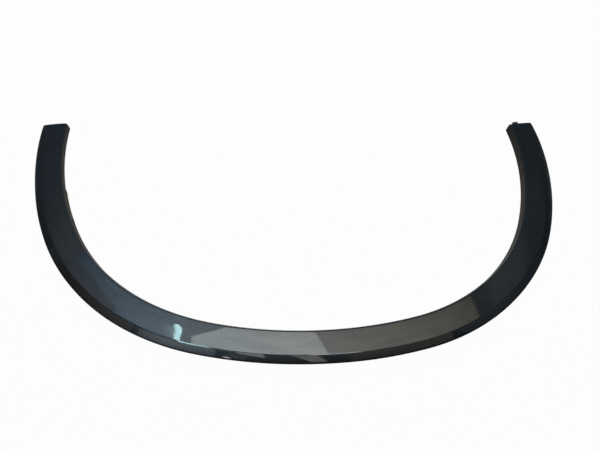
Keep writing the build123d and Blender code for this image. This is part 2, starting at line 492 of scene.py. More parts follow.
@dataclass(frozen=True)
class Section:
    """The moulding's cross section: the first coordinate runs outward from the lip, the second up."""

    wall: float = 2.8
    flange_depth: float = 14.5
    flange_lean: float = 1.5
    face_width: float = 33.0
    face_drop: float = 1.6
    face_bulge: float = 0.5
    bevel_width: float = 10.2
    bevel_drop: float = 3.8
    bevel_bulge: float = 0.25
    rim_height: float = 2.0
    land_width: float = 3.0
    lip_radius: float = 3.0
    rim_radius: float = 0.8
    inside_radius: float = 1.2
    edge_break: float = 0.5

    flange_steps: int = 7
    lip_steps: int = 10
    bare_lip_steps: int = 4
    face_steps: int = 18
    crease_steps: int = 6
    bevel_steps: int = 6
    rim_steps: int = 6
    bare_rim_steps: int = 3
    side_steps: int = 2

    @property
    def rim_reach(self) -> float:
        """How far outward of the lip the rim lies."""
        return self.face_width + self.bevel_width

    @property
    def crease_height(self) -> float:
        """The crease's height above the flange's foot."""
        return self.flange_depth - self.face_drop

    @property
    def rim_foot(self) -> float:
        """The height of the rim's lower side."""
        return self.crease_height - self.bevel_drop - self.rim_height

    @property
    def steps(self) -> int:
        """How many pieces each side of the wall has."""
        return (
            self.flange_steps + self.lip_steps + self.face_steps + self.crease_steps
            + self.bevel_steps + self.rim_steps + self.side_steps
        )

    @property
    def painted(self) -> range:
        """The pieces of the visible side that have paint on them, from the lip to the rim's edge."""
        bare = self.bare_rim_steps + self.side_steps
        return range(self.flange_steps + self.bare_lip_steps, self.steps - bare)

    def flange_inner(self, height: float) -> float:
        """How far outward of the lip the flange's visible side lies at a height."""
        return self.flange_lean * (height / self.flange_depth - 1)

    def flange_middle(self, height: float) -> float:
        """How far outward of the lip the middle of the flange's wall lies at a height."""
        return self.flange_inner(height) + self.wall / 2

    def face_top(self, reach: float) -> Point:
        """The face's visible side at a distance outward of the lip."""
        share = reach / self.face_width
        return reach, self.flange_depth - self.face_drop * share + 4 * self.face_bulge * share * (1 - share)

    def face_slope(self, reach: float) -> Point:
        """The direction in which the face runs outward at a distance from the lip."""
        share = reach / self.face_width
        return unit(self.face_width, 4 * self.face_bulge * (1 - 2 * share) - self.face_drop)

    def face_middle(self, reach: float) -> float:
        """The height of the middle of the face's wall at a distance outward of the lip."""
        return self.flange_depth - self.face_drop * reach / self.face_width - self.wall / 2

    def bevel_top(self, reach: float, drop: float) -> Point:
        """The bevel's visible side at a distance outward of the lip, for its whole drop."""
        share = (reach - self.face_width) / self.bevel_width
        return reach, self.crease_height - drop * share + 4 * self.bevel_bulge * share * (1 - share)

    def bevel_slope(self, reach: float, drop: float) -> Point:
        """The direction in which the bevel runs outward at a distance from the lip."""
        share = (reach - self.face_width) / self.bevel_width
        return unit(self.bevel_width, 4 * self.bevel_bulge * (1 - 2 * share) - drop)

    def outer(self, foot: float, crease_reach: float, rim_lift: float) -> list[Point]:
        """The visible side, from the flange's foot over the face to the rim's foot.

        Args:
            foot: The height of the flange's foot.
            crease_reach: How far the crease's rounding reaches to each side.
            rim_lift: How much less the bevel drops than on the crown.

        Returns:
            The points along the visible side.
        """
        lip = rounded(
            (0.0, self.flange_depth),
            unit(self.flange_lean, self.flange_depth),
            self.face_slope(self.lip_radius),
            self.lip_radius,
            self.lip_steps,
        )
        low = foot + self.edge_break
        points = spread((self.flange_inner(low), low), lip[0], self.flange_steps) + lip[:-1]
        start, end = lip[-1][0], self.face_width - crease_reach
        for i in range(self.face_steps):
            ease = 0.5 - 0.5 * math.cos(math.pi * i / self.face_steps)
            points.append(self.face_top(start + (end - start) * ease))
        points[self.flange_steps + self.lip_steps] = lip[-1]
        drop = self.bevel_drop - rim_lift
        first = self.face_top(end)
        crease_end = min(crease_reach, self.bevel_width - 2 * self.rim_radius)
        last = self.bevel_top(self.face_width + crease_end, drop)
        crease = crossing(first, self.face_slope(end), last, self.bevel_slope(last[0], drop))
        for i in range(self.crease_steps):
            t = i / self.crease_steps
            points.append(tuple(
                (1 - t) ** 2 * a + 2 * t * (1 - t) * b + t * t * c for a, b, c in zip(first, crease, last)
            ))
        corner = (self.rim_reach, self.crease_height - drop)
        fall = self.bevel_slope(self.rim_reach, drop)
        rim = rounded(corner, fall, (0.0, -1.0), self.rim_radius, self.rim_steps)
        reaches = [reach for reach, _ in spread(last, rim[0], self.bevel_steps)]
        points += [self.bevel_top(reach, drop) for reach in reaches] + rim[:-1]
        bottom = (self.rim_reach, self.rim_foot + self.edge_break)
        return points + spread(rim[-1], bottom, self.side_steps) + [bottom]

    def inner(self, foot: float) -> list[Point]:
        """The hidden side, with as many points as the visible one.

        Args:
            foot: The height of the flange's foot.

        Returns:
            The points along the hidden side, from the flange's foot to the rim's foot.
        """
        top = self.flange_depth - self.wall
        under_lip = (self.flange_inner(top) + self.wall, top)
        under_crease = (self.face_width, self.crease_height - self.wall)
        land = (self.rim_reach - self.land_width, self.rim_foot)
        rise = unit(self.flange_lean, self.flange_depth)
        along = toward(under_lip, under_crease)
        fall = toward(under_crease, land)
        lip = rounded(under_lip, rise, along, self.inside_radius, self.lip_steps)
        crease = rounded(under_crease, along, fall, self.inside_radius, self.crease_steps)
        seat = rounded(land, fall, (1.0, 0.0), self.edge_break, self.rim_steps)
        low = foot + self.edge_break
        last = (self.rim_reach - self.edge_break, self.rim_foot)
        return (
            spread((self.flange_inner(low) + self.wall, low), lip[0], self.flange_steps)
            + lip[:-1]
            + spread(lip[-1], crease[0], self.face_steps)
            + crease[:-1]
            + spread(crease[-1], seat[0], self.bevel_steps)
            + seat[:-1]
            + spread(seat[-1], last, self.side_steps)
            + [last]
        )

    def ring(self, foot: float, crease_reach: float, rim_lift: float) -> list[Point]:
        """The whole section as one closed loop: visible side, hidden side backwards, foot."""
        inside = self.flange_inner(foot)
        return (
            self.outer(foot, crease_reach, rim_lift)
            + self.inner(foot)[::-1]
            + [(inside + self.wall - self.edge_break, foot), (inside + self.edge_break, foot)]
        )


def shrunk(ring: list[Point], depth: float) -> list[Point]:
    """Draws a closed loop in towards its own material.

    Args:
        ring: The loop's points.
        depth: How far each point moves.

    Returns:
        The smaller loop.
    """
    points = []
    for i, (r, z) in enumerate(ring):
        before, after = ring[i - 1], ring[(i + 1) % len(ring)]
        along = toward(before, after)
        points.append((r + along[1] * depth, z - along[0] * depth))
    return points


def straight(along: float, outward: float, up: float) -> tuple[float, float, float]:
    """A point of the straight moulding in metres: X along the lip, -Y outward, Z up."""
    return along * MM, -outward * MM, up * MM


def prism(bm: BMesh, near: list[tuple], far: list[tuple]) -> list[BMFace]:
    """Adds a solid between two outlines with equal counts of points.

    Args:
        bm: The mesh that gets the solid.
        near: The first outline.
        far: The second outline.

    Returns:
        The solid's faces, turned outward.
    """
    a = [bm.verts.new(p) for p in near]
    b = [bm.verts.new(p) for p in far]
    faces = [bm.faces.new(a), bm.faces.new(b[::-1])]
    for i in range(len(a)):
        j = (i + 1) % len(a)
        faces.append(bm.faces.new((a[j], a[i], b[i], b[j])))
    bmesh.ops.recalc_face_normals(bm, faces=faces)
    return faces


def piece(name: str, data: ID) -> Object:
    """Puts a mesh, a lamp or a camera into the scene as an object.

    Args:
        name: The object's name.
        data: What the object shows.

    Returns:
        The object, at the origin.
    """
    obj = bpy.data.objects.new(name, data)
    bpy.context.scene.collection.objects.link(obj)
    return obj


def node_tree(name: str, kinds: dict[str, str]) -> tuple[NodeTree, Node]:
    """Starts a Geometry Nodes tree.

    Args:
        name: The tree's name.
        kinds: The kind of each input beside the geometry, by name.

    Returns:
        The tree, and the node that gives its inputs.
    """
    tree = bpy.data.node_groups.new(name, "GeometryNodeTree")
    tree.interface.new_socket("Geometry", in_out="OUTPUT", socket_type="NodeSocketGeometry")
    for label, kind in ({"Geometry": "Geometry"} | kinds).items():
        tree.interface.new_socket(label, in_out="INPUT", socket_type="NodeSocket" + kind)
    return tree, add(tree, "NodeGroupInput")


def apply_nodes(obj: Object, tree: NodeTree, values: dict[str, object]) -> None:
    """Gives an object a Geometry Nodes modifier, with its inputs set by their identifiers.

    Args:
        obj: The object.
        tree: The modifier's tree.
        values: The value of each input, by name.
    """
    modifier = obj.modifiers.new(tree.name, "NODES")
    modifier.node_group = tree
    for item in tree.interface.items_tree:
        if item.in_out == "INPUT" and item.name in values:
            modifier[item.identifier] = values[item.name]


def settled(obj: Object) -> Mesh:
    """Works out an object's modifiers.

    Args:
        obj: The object.

    Returns:
        The mesh that the modifiers give.
    """
    bpy.context.view_layer.update()
    graph = bpy.context.evaluated_depsgraph_get()
    return bpy.data.meshes.new_from_object(obj.evaluated_get(graph), depsgraph=graph)


def discard(*objects: Object) -> None:
    """Takes helper objects out of the file."""
    for obj in objects:
        bpy.data.objects.remove(obj, do_unlink=True)


@dataclass
class ArchBend:
    """The Geometry Nodes tree that bends the straight moulding along the five arcs of the arch.

    On the way it widens the moulding by places along the lip line: inward of the lip and outward of the rim.
    """

    line: ArchLine
    tip: Point
    reach: float
    name: str = "bend_along_arch"
    inner_growth: Row = (
        (0.0, 0.3), (150.0, 0.5), (220.0, 1.2), (340.0, 1.7), (460.0, 1.5),
        (530.0, 0.7), (740.0, 0.6), (820.0, 0.9), (1100.0, 0.8), (1252.0, 0.4),
    )
    outer_growth: Row = (
        (0.0, -0.2), (130.0, 0.15), (200.0, 0.7), (350.0, 0.8), (450.0, 0.1),
        (620.0, -0.2), (740.0, 0.5), (900.0, 0.4), (1050.0, 0.7), (1252.0, 0.0),
    )
    growth_floor: float = -0.5
    growth_span: float = 2.5

    def tree(self) -> NodeTree:
        """Builds the tree, with a radius and a sweep for each arc among its inputs.

        Returns:
            The tree.
        """
        kinds = dict.fromkeys(self.sizes(), "Float") | {coat.name: "Material" for coat in Coat}
        tree, entry = node_tree(self.name, kinds)

        def math_node(operation: str, *values: object) -> NodeSocket:
            """The result of one sum in the tree."""
            return add(tree, "ShaderNodeMath", dict(enumerate(values)), operation=operation).outputs[0]

        place = add(tree, "ShaderNodeSeparateXYZ", {0: add(tree, "GeometryNodeInputPosition").outputs[0]})
        along, inward, up = place.outputs
        way = math_node("DIVIDE", along, entry.outputs["length"])
        curves = [self.curve(tree, way, row) for row in (self.inner_growth, self.outer_growth)]
        floor, height = self.growth_floor * MM, self.growth_span * MM
        lip, rim = (math_node("MULTIPLY_ADD", curve, height, floor) for curve in curves)
        span = math_node("DIVIDE", inward, entry.outputs["rim_reach"])
        inward = math_node("ADD", inward, math_node("MULTIPLY_ADD", span, lip, lip))
        inward = math_node("MULTIPLY_ADD", span, rim, inward)
        heading = turned = entry.outputs["start_heading"]
        x, y = entry.outputs["tip_x"], entry.outputs["tip_y"]
        used = None
        names = list(self.line.arcs())
        for name in names:
            radius, sweep = entry.outputs[name + "_radius"], entry.outputs[name + "_sweep"]
            length = math_node("MULTIPLY", radius, sweep)
            rest = along
            if name != names[0]:
                rest = math_node("MAXIMUM", math_node("SUBTRACT", along, used), 0.0)
            if name != names[-1]:
                rest = math_node("MINIMUM", rest, length)
            turn = math_node("DIVIDE", rest, radius)
            reached = math_node("ADD", heading, turn)
            across = math_node("SUBTRACT", math_node("SINE", reached), math_node("SINE", heading))
            x = math_node("ADD", x, math_node("MULTIPLY", radius, across))
            ahead = math_node("SUBTRACT", math_node("COSINE", heading), math_node("COSINE", reached))
            y = math_node("ADD", y, math_node("MULTIPLY", radius, ahead))
            turned = math_node("ADD", turned, turn)
            heading = math_node("ADD", heading, sweep)
            used = length if used is None else math_node("ADD", used, length)
        x = math_node("SUBTRACT", x, math_node("MULTIPLY", math_node("SINE", turned), inward))
        y = math_node("ADD", y, math_node("MULTIPLY", math_node("COSINE", turned), inward))
        bent = add(tree, "ShaderNodeCombineXYZ", {"X": x, "Y": y, "Z": up}).outputs[0]
        move = {"Geometry": entry.outputs["Geometry"], "Position": bent}
        moved = add(tree, "GeometryNodeSetPosition", move).outputs[0]
        shape = add(tree, "GeometryNodeRealizeInstances", {0: moved}).outputs[0]
        slot = add(tree, "GeometryNodeInputMaterialIndex").outputs[0]
        for coat in Coat:
            same = {2: slot, 3: int(coat)}
            chosen = add(tree, "FunctionNodeCompare", same, data_type="INT", operation="EQUAL").outputs[0]
            dress = {"Geometry": shape, "Selection": chosen, "Material": entry.outputs[coat.name]}
            shape = add(tree, "GeometryNodeSetMaterial", dress).outputs[0]
        add(tree, "NodeGroupOutput", {0: shape})
        return tree

    def curve(self, tree: NodeTree, way: NodeSocket, row: Row) -> NodeSocket:
        """Adds a smooth curve through a row of places and sizes.

        Args:
            tree: The tree that gets the curve.
            way: The share of the way along the lip line.
            row: The places along the line, each with its size.

        Returns:
            The size as a share of the growth's span, counted from its floor.
        """
        node = add(tree, "ShaderNodeFloatCurve", {"Value": way})
        points = node.mapping.curves[0].points
        for _ in row[2:]:
            points.new(1.0, 1.0)
        for point, (spot, size) in zip(points, row):
            point.location = spot / self.line.length, (size - self.growth_floor) / self.growth_span
        node.mapping.update()
        return node.outputs[0]

    def sizes(self) -> dict[str, float]:
        """Lists the tree's sizes.

        Returns:
            The sizes by input name, in metres and radians.
        """
        values = {
            "length": self.line.length * MM,
            "rim_reach": self.reach * MM,
            "tip_x": self.tip[0],
            "tip_y": self.tip[1],
            "start_heading": math.radians(self.line.start_heading),
        }
        for name, arc in self.line.arcs().items():
            values[name + "_radius"] = arc.radius * MM
            values[name + "_sweep"] = math.radians(arc.sweep)
        return values


@dataclass
class RibRow:
    """The Geometry Nodes tree that sets ribs and clip seats in turn at even steps along the lip."""

    count: int = 17
    end_margin: float = 45.0
    name: str = "ribs_along_lip"

    def tree(self) -> NodeTree:
        """Builds the tree, with the row's count, start, step and its two shapes as inputs.

        Returns:
            The tree.
        """
        kinds = {"count": "Int", "start": "Float", "step": "Float"}
        kinds |= {"rib": "Object", "clip_seat": "Object", "plastic": "Material"}
        tree, entry = node_tree(self.name, kinds)
        first = add(tree, "ShaderNodeCombineXYZ", {"X": entry.outputs["start"]}).outputs[0]
        stride = add(tree, "ShaderNodeCombineXYZ", {"X": entry.outputs["step"]}).outputs[0]
        line = {"Count": entry.outputs["count"], "Start Location": first, "Offset": stride}
        places = add(tree, "GeometryNodeMeshLine", line, mode="OFFSET").outputs[0]
        number = add(tree, "GeometryNodeInputIndex").outputs[0]
        odd = add(tree, "ShaderNodeMath", {0: number, 1: 2.0}, operation="MODULO").outputs[0]
        even = add(tree, "ShaderNodeMath", {0: 1.0, 1: odd}, operation="SUBTRACT").outputs[0]
        row = add(tree, "GeometryNodeJoinGeometry")
        for name, chosen in (("rib", even), ("clip_seat", odd)):
            shape = add(tree, "GeometryNodeObjectInfo", {"Object": entry.outputs[name]}).outputs["Geometry"]
            copies = {"Points": places, "Selection": chosen, "Instance": shape}
            feed(tree, row, {0: add(tree, "GeometryNodeInstanceOnPoints", copies).outputs[0]})
        whole = add(tree, "GeometryNodeRealizeInstances", {0: row.outputs[0]}).outputs[0]
        dress = {"Geometry": whole, "Material": entry.outputs["plastic"]}
        add(tree, "NodeGroupOutput", {0: add(tree, "GeometryNodeSetMaterial", dress).outputs[0]})
        return tree


@dataclass
class ArchMoulding:
    """The whole trim: its skin, the ribs, clip seats and end walls on its back, its hole and its tab."""

    line: ArchLine = field(default_factory=ArchLine)
    section: Section = field(default_factory=Section)
    ribs: RibRow = field(default_factory=RibRow)
    paint: MetallicPaint = field(default_factory=MetallicPaint)
    plastic: MouldedPlastic = field(default_factory=MouldedPlastic)

    station_step: float = 4.0
    ramp_step: float = 1.0
    ramp_margin: int = 2
    end_round: float = 0.45
    end_round_steps: int = 4
    end_blend: float = 40.0
    sharp_angle: float = 35.0

    crease_reaches: Row = (
        (0.0, 6.0), (140.0, 5.0), (220.0, 2.0), (300.0, 0.7), (440.0, 0.7), (520.0, 0.9), (560.0, 0.4),
        (660.0, 0.6), (720.0, 0.4), (860.0, 0.4), (1000.0, 1.5), (1080.0, 3.0), (1252.0, 6.0),
    )
    wave_length: float = 60.0
    wave_width: float = 25.0
    wave_depth: float = 0.05
    tip_rim_lift: float = 1.9
    tip_rim_length: float = 130.0

    left_flange_depth: float = 10.5
    left_flange_length: float = 149.0
    ear_ramp: float = 6.0
    left_corner_radius: float = 5.0
    ear_hole_diameter: float = 5.5
    ear_hole_from_tip: float = 214.0
    ear_hole_height: float = 5.5
    ear_hole_sides: int = 40

    right_end_slant: float = 5.0
    foot_trim: float = 2.0
    tab_width: float = 10.0
    tab_length: float = 7.5
    tab_thickness: float = 2.5
    tab_from_lip: float = 10.7
    tab_edge: float = 0.6
    tab_edge_steps: int = 3
    tab_sprayed_from: float = 2.5
    spray_limit: float = -0.5

    rib_thickness: float = 1.8
    rib_reach: float = 14.0
    rib_foot: float = 5.5
    blade_from_lip: float = 17.0
    blade_length: float = 14.0
    blade_thickness: float = 2.2
    blade_foot: float = 2.5
    blade_chamfer: float = 2.0

    def build(self) -> Object:
        """Makes the moulding as one mesh, bends it along the arch and dresses it.

        Returns:
            The finished piece, at the origin.
        """
        low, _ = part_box(NODE)
        coats = {Coat.PAINT: self.paint.material(), Coat.PLASTIC: self.plastic.material()}
        skin = piece(NODE + "_moulding", self.skin_mesh())
        back = piece("back_features", self.back_mesh(coats[Coat.PLASTIC]))
        bore = piece("ear_bore", self.bore_mesh())
        for obj in (skin, back, bore):
            for coat in Coat:
                obj.data.materials.append(coats[coat])
        for tool, operation in ((back, "UNION"), (bore, "DIFFERENCE")):
            cut = skin.modifiers.new(tool.name, "BOOLEAN")
            cut.object = tool
            cut.operation = operation
            cut.solver = "EXACT"
            cut.use_self = tool is back
        reach = self.section.rim_reach
        bend = ArchBend(self.line, self.line.tip(reach, low), reach)
        values = bend.sizes() | {coat.name: coats[coat] for coat in Coat}
        apply_nodes(skin, bend.tree(), values)
        mesh = settled(skin)
        mesh.set_sharp_from_angle(angle=math.radians(self.sharp_angle))
        skin.modifiers.clear()
        skin.data = mesh
        discard(back, bore)
        mesh.name = skin.name
        return skin

    def stations(self) -> list[float]:
        """Lists where the skin has a section: at even steps, and closer at the ear's ramp and the ends.

        Returns:
            The distances along the lip line, in order.
        """
        count = round(self.line.length / self.station_step)
        places = {self.line.length * i / count for i in range(count + 1)}
        ramp = self.left_flange_length - self.ear_ramp
        last = round(self.ear_ramp / self.ramp_step) + self.ramp_margin
        places |= {ramp + self.ramp_step * i for i in range(-self.ramp_margin, last + 1)}
        for i in range(1, self.end_round_steps + 1):
            inset = self.end_round * (1 - math.cos(math.pi / 2 * i / self.end_round_steps))
            places |= {inset, self.line.length - inset}
        return sorted(places)

    def foot(self, distance: float) -> float:
        """The height of the flange's foot at a distance from the left tip."""
        share = clamped((self.left_flange_length - distance) / self.ear_ramp)
        return (self.section.flange_depth - self.left_flange_depth) * share

    def wave(self, distance: float, outward: float) -> float:
        """How far the moulded face stands above its true shape, where the plastic shrank unevenly."""
        place = Vector((distance / self.wave_length, outward / self.wave_width, 0.0))
        return self.wave_depth * noise.noise(place)

    def rim_lift(self, distance: float) -> float:
        """How much higher the rim's top is at a distance than on the crown: the bevel fades to the tips."""
        away = min(distance, self.line.length - distance)
        return self.tip_rim_lift * smooth(1 - away / self.tip_rim_length)

    def end_shift(self, end: End, outward: float, up: float) -> float:
        """How far an end is moved along the lip at a point of the section.

        Args:
            end: Which tip.
            outward: The point's distance outward of the lip.
            up: The point's height.

        Returns:
            The shift in the direction of travel.
        """
        if end is End.LEFT:
            radius = self.left_corner_radius
            short = radius - min(max(outward - self.section.flange_inner(up), 0.0), radius)
            return radius - math.sqrt(radius * radius - short * short)
        trim = max(self.foot_trim - up, 0.0) if outward < self.tab_from_lip else 0.0
        return outward * math.tan(math.radians(self.right_end_slant)) - trim

    def skin_mesh(self) -> Mesh:
        """Makes the straight skin: the section at every station, closed and rounded at both ends.

        Returns:
            The straight mesh.
        """
        shape = self.section
        places = self.stations()
        verts, faces, slots = [], [], []
        for distance in places:
            crease_reach = eased(self.crease_reaches, distance)
            ring = shape.ring(self.foot(distance), crease_reach, self.rim_lift(distance))
            left, right = distance, self.line.length - distance
            near = self.end_round - min(left, right, self.end_round)
            depth = self.end_round - math.sqrt(self.end_round**2 - near**2)
            ring = shrunk(ring, depth) if depth > 0 else ring
            for i, (outward, up) in enumerate(ring):
                up += self.wave(distance, outward) if i in shape.painted else 0.0
                along = distance
                along += self.end_shift(End.LEFT, outward, up) * max(0.0, 1 - left / self.end_blend)
                along += self.end_shift(End.RIGHT, outward, up) * max(0.0, 1 - right / self.end_blend)
                verts.append(straight(along, outward, up))
        size = len(verts) // len(places)
        for k in range(len(places) - 1):
            for i in range(size):
                j = (i + 1) % size
                faces.append((k * size + i, k * size + j, (k + 1) * size + j, (k + 1) * size + i))
                slots.append(Coat.PAINT if i in shape.painted else Coat.PLASTIC)
        hidden = 2 * shape.steps + 1
        for base, turn in ((0, -1), ((len(places) - 1) * size, 1)):
            for i in range(shape.steps):
                cap = (base + i, base + i + 1, base + hidden - i - 1, base + hidden - i)
                faces.append(cap[::turn])
                slots.append(Coat.PAINT if i >= shape.painted.start else Coat.PLASTIC)
            foot = (base + hidden, base + hidden + 1, base + hidden + 2, base)
            faces.append(foot[::-turn])
            slots.append(Coat.PLASTIC)
        mesh = bpy.data.meshes.new("skin")
        mesh.from_pydata(verts, [], faces)
        mesh.polygons.foreach_set("material_index", [int(s) for s in slots])
        mesh.polygons.foreach_set("use_smooth", [True] * len(faces))
        return mesh

    def web_corner(self, foot: float) -> list[Point]:
        """Draws a web's edge inside the wall: up the flange, and round the lip to the face.

        Args:
            foot: The height at which the web starts.

        Returns:
            The points of the edge, in the section.
        """
        shape = self.section
        shoulder = shape.flange_depth - shape.lip_radius
        return [
            (shape.flange_middle(foot), foot),
            (shape.flange_middle(shoulder), shoulder),
            (shape.lip_radius, shape.face_middle(shape.lip_radius)),
        ]

    def web(self, bm: BMesh, outline: list[Point], near: float, far: float, slant: float) -> None:
        """Adds a web across the channel.

        Args:
            bm: The mesh that gets the web.
            outline: The web's outline in the section.
            near: The distance along the lip of its first side.
            far: The distance along the lip of its second side.
            slant: How far it runs along the lip for each step outward.
        """
        prism(bm, *([straight(side + r * slant, r, z) for r, z in outline] for side in (near, far)))

    def rib_mesh(self) -> Mesh:
        """Makes one gusset that braces the flange against the back of the face.

        Returns:
            The straight mesh, with its middle at zero along the lip.
        """
        bm = bmesh.new()
        end = (self.rib_reach, self.section.face_middle(self.rib_reach))
        outline = self.web_corner(self.rib_foot) + [end]
        self.web(bm, outline, -self.rib_thickness / 2, self.rib_thickness / 2, 0.0)
        return self.taken(bm, "rib")

    def clip_seat_mesh(self) -> Mesh:
        """Makes one blade that a spring clip slides onto, with the web that ties it to the flange.

        Returns:
            The straight mesh, with its middle at zero along the lip.
        """
        bm = bmesh.new()
        top = self.section.face_middle(self.blade_from_lip)
        outline = self.web_corner(self.rib_foot)
        outline += [(self.blade_from_lip, top), (self.blade_from_lip, self.rib_foot)]
        self.web(bm, outline, -self.rib_thickness / 2, self.rib_thickness / 2, 0.0)
        half, low, cut = self.blade_length / 2, self.blade_foot, self.blade_chamfer
        blade = [(-half, top), (-half, low + cut), (-half + cut, low)]
        blade += [(-along, up) for along, up in blade[::-1]]
        sides = [self.blade_from_lip + side * self.blade_thickness / 2 for side in (-1, 1)]
        prism(bm, *([straight(s, side, z) for s, z in blade] for side in sides))
        return self.taken(bm, "clip_seat")

    def back_mesh(self, plastic: Material) -> Mesh:
        """Makes all that stands on the back and the ends: the row of ribs, the end walls and the tab.

        Args:
            plastic: The bare plastic.

        Returns:
            The straight mesh.
        """
        rib = piece("rib", self.rib_mesh())
        seat = piece("clip_seat", self.clip_seat_mesh())
        row = piece("rib_row", bpy.data.meshes.new("rib_row"))
        step = (self.line.length - 2 * self.ribs.end_margin) / (self.ribs.count - 1)
        values = {
            "count": self.ribs.count,
            "start": self.ribs.end_margin * MM,
            "step": step * MM,
            "rib": rib,
            "clip_seat": seat,
            "plastic": plastic,
        }
        apply_nodes(row, self.ribs.tree(), values)
        bm = bmesh.new()
        bm.from_mesh(settled(row))
        discard(row, rib, seat)
        self.end_walls(bm)
        self.tab(bm)
        return self.taken(bm, "back_features", self.line.length + self.tab_sprayed_from)

    def end_walls(self, bm: BMesh) -> None:
        """Adds the walls that close the channel at both tips.

        Args:
            bm: The mesh that gets the walls.
        """
        shape = self.section
        edge = [
            (shape.face_width, shape.face_middle(shape.face_width)),
            (shape.rim_reach - shape.land_width / 2, shape.rim_foot + shape.rim_height / 2),
        ]
        inset = self.end_round + shape.edge_break
        left = self.web_corner(shape.flange_depth - self.left_flange_depth + shape.wall / 2) + edge
        self.web(bm, left, inset, shape.wall, 0.0)
        slant = math.tan(math.radians(self.right_end_slant))
        right = self.web_corner(self.foot_trim) + edge
        self.web(bm, right, self.line.length - shape.wall, self.line.length - inset, slant)

    def tab(self, bm: BMesh) -> None:
        """Adds the locating tab that stands out of the right tip, with its edges broken.

        Args:
            bm: The mesh that gets the tab.
        """
        shape = self.section
        slant = math.radians(self.right_end_slant)
        inner, outer = self.tab_from_lip, self.tab_from_lip + self.tab_width
        top = shape.face_middle(outer) - shape.wall / 2
        low = top - self.tab_thickness
        ends = []
        for out in (-shape.wall / 2 - self.end_round, self.tab_length):
            corners = []
            for r, z in ((inner, low), (outer, low), (outer, top), (inner, top)):
                along = self.line.length + r * math.sin(slant) + out * math.cos(slant)
                corners.append(straight(along, r * math.cos(slant) - out * math.sin(slant), z))
            ends.append(corners)
        edges = {edge for face in prism(bm, *ends) for edge in face.edges}
        offset, steps = self.tab_edge * MM, self.tab_edge_steps
        bmesh.ops.bevel(bm, geom=list(edges), offset=offset, segments=steps, profile=0.5, affect="EDGES")

    def bore_mesh(self) -> Mesh:
        """Makes the cutter for the ear's screw hole, square to the leaning flange.

        Returns:
            The straight mesh.
        """
        shape = self.section
        rise = unit(shape.flange_lean, shape.flange_depth)
        height = self.ear_hole_height
        centre = (shape.flange_middle(height), height)
        radius = self.ear_hole_diameter / 2
        ends = []
        for out in (-shape.wall, shape.wall):
            ring = []
            for i in range(self.ear_hole_sides):
                turn = 2 * math.pi * i / self.ear_hole_sides
                lift = radius * math.sin(turn)
                ring.append(straight(
                    self.ear_hole_from_tip + radius * math.cos(turn),
                    centre[0] + rise[0] * lift + rise[1] * out,
                    centre[1] + rise[1] * lift - rise[0] * out,
                ))
            ends.append(ring)
        bm = bmesh.new()
        prism(bm, *ends)
        return self.taken(bm, "ear_bore")

    def taken(self, bm: BMesh, name: str, sprayed_from: float = math.inf) -> Mesh:
        """Turns a working mesh into a plain one and frees it: bare plastic, with paint where spray reaches.

        Args:
            bm: The working mesh.
            name: The plain mesh's name.
            sprayed_from: The distance from the left tip beyond which sides that don't face down have paint.

        Returns:
            The plain mesh.
        """
        for face in bm.faces:
            beyond = face.calc_center_median().x > sprayed_from * MM
            sprayed = beyond and face.normal.z > self.spray_limit
            face.material_index = int(Coat.PAINT if sprayed else Coat.PLASTIC)
            face.smooth = True
        mesh = bpy.data.meshes.new(name)
        bm.to_mesh(mesh)
        bm.free()
        return mesh


@dataclass(frozen=True)
class Stop:
    """The brightness of a reflector card at a share of the way across it."""

    share: float
    shade: str
    strength: float

    def light(self) -> tuple[float, float, float]:
        """The light that the card sends out there."""
        return tuple(c * self.strength for c in linear(self.shade)[:3])


@dataclass(frozen=True)
class Card:
    """A reflector card overhead, given by points along its two edges in metres, seen from above.

    The fade is how brightly its last row of points glows next to its first.
    The drop is how far it hangs below the ceiling.
    """

    name: str
    near: Row
    far: Row
    stops: tuple[Stop, ...]
    fade: float = 1.0
    drop: float = 0.0


# Edges that two cards share.
KEY_LEFT = ((-0.655, 0.0), (-0.60, 0.33), (-0.43, 0.55), (-0.28, 0.79))
KEY_RIGHT = ((0.222, 0.0), (0.179, 0.33), (0.153, 0.55), (0.129, 0.79))
COOL_LEFT = ((-1.76, 0.87), (-1.51, 1.015), (-1.36, 1.12), (-1.16, 1.30))


